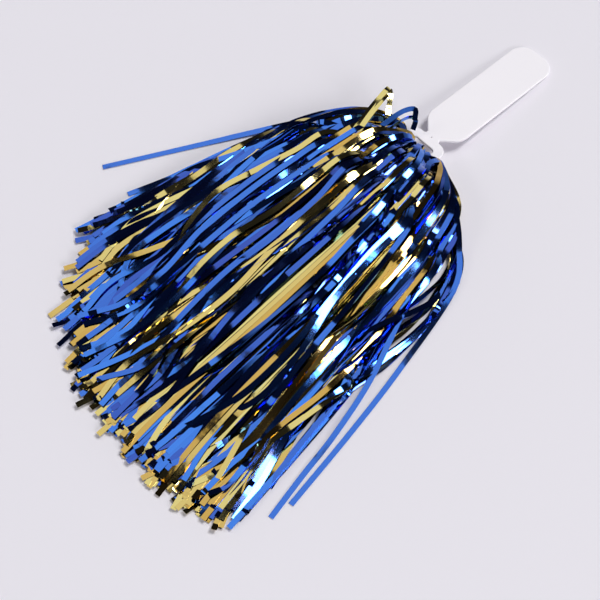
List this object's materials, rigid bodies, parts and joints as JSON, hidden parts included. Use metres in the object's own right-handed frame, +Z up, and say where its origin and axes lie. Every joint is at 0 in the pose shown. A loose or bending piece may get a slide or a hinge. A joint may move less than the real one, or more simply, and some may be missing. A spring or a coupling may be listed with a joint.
{
  "type": "cheer pom pom",
  "caption": "Flat white paddle handle with an oval ring; a full skirt of blue and gold foil streamers is folded over the ring and fans out behind it.",
  "frame": {"origin": "middle of the bounding box, on the surface that the pom pom lies on", "axes": "+X along the handle towards the paddle's end, with the skirt towards -X; +Z up, away from the surface"},
  "size_m": [0.4447, 0.2912, 0.04],
  "materials": {
    "handle": "moulded white polypropylene, satin gloss",
    "blue_foil": "royal blue metallised film, mirror bright",
    "gold_foil": "gold metallised film, mirror bright",
    "binding": "plain tape"
  },
  "bodies": {
    "handle": {"paddle_handle": "handle"},
    "skirt_back": {"folded_bundle": "blue_foil", "binding_tie": "binding", "crown_folds": "blue_foil", "left_fold_lobe": "blue_foil", "right_fold_lobe": "blue_foil", "back_hank_04_gold": "gold_foil", "back_hank_05_blue": "blue_foil", "back_hank_06_blue": "blue_foil", "back_hank_07_gold": "gold_foil"},
    "back_left": {"left_stray_long": "blue_foil", "left_stray_short": "blue_foil", "back_hank_08_blue": "blue_foil", "back_hank_09_gold": "gold_foil", "back_hank_10_blue": "blue_foil"},
    "back_right": {"right_stray_outer": "blue_foil", "right_stray_inner": "blue_foil", "back_hank_01_blue": "blue_foil", "back_hank_02_gold": "gold_foil", "back_hank_03_blue": "blue_foil"},
    "skirt_front": {"front_hank_06_blue": "blue_foil", "front_hank_07_gold": "gold_foil", "front_hank_08_blue": "blue_foil", "front_hank_09_gold": "gold_foil", "front_hank_10_blue": "blue_foil", "front_hank_11_blue": "blue_foil"},
    "front_left": {"front_hank_12_gold": "gold_foil", "front_hank_13_blue": "blue_foil", "front_hank_14_gold": "gold_foil", "front_hank_15_blue": "blue_foil", "front_hank_16_blue": "blue_foil"},
    "front_right": {"front_hank_01_blue": "blue_foil", "front_hank_02_gold": "gold_foil", "front_hank_03_blue": "blue_foil", "front_hank_04_gold": "gold_foil", "front_hank_05_blue": "blue_foil"}
  },
  "joints": [
    {"name": "skirt_swing", "type": "hinge", "parent": "handle", "child": "skirt_back", "pos_m": [0.08057, -0.0101, 0.0137], "axis": [0, 1, 0], "range_deg": [-75, 75]},
    {"name": "back_left_spread", "type": "hinge", "parent": "skirt_back", "child": "back_left", "pos_m": [0.0731, -0.0101, 0.009], "axis": [0, 0, -1], "range_deg": [0, 25]},
    {"name": "back_right_spread", "type": "hinge", "parent": "skirt_back", "child": "back_right", "pos_m": [0.0731, -0.0101, 0.009], "axis": [0, 0, 1], "range_deg": [0, 25]},
    {"name": "front_lift", "type": "hinge", "parent": "skirt_back", "child": "skirt_front", "pos_m": [0.0731, -0.0101, 0.009], "axis": [0, 1, 0], "range_deg": [0, 60]},
    {"name": "front_left_spread", "type": "hinge", "parent": "skirt_front", "child": "front_left", "pos_m": [0.0731, -0.0101, 0.009], "axis": [0, 0, -1], "range_deg": [0, 25]},
    {"name": "front_right_spread", "type": "hinge", "parent": "skirt_front", "child": "front_right", "pos_m": [0.0731, -0.0101, 0.009], "axis": [0, 0, 1], "range_deg": [0, 25]}
  ]
}
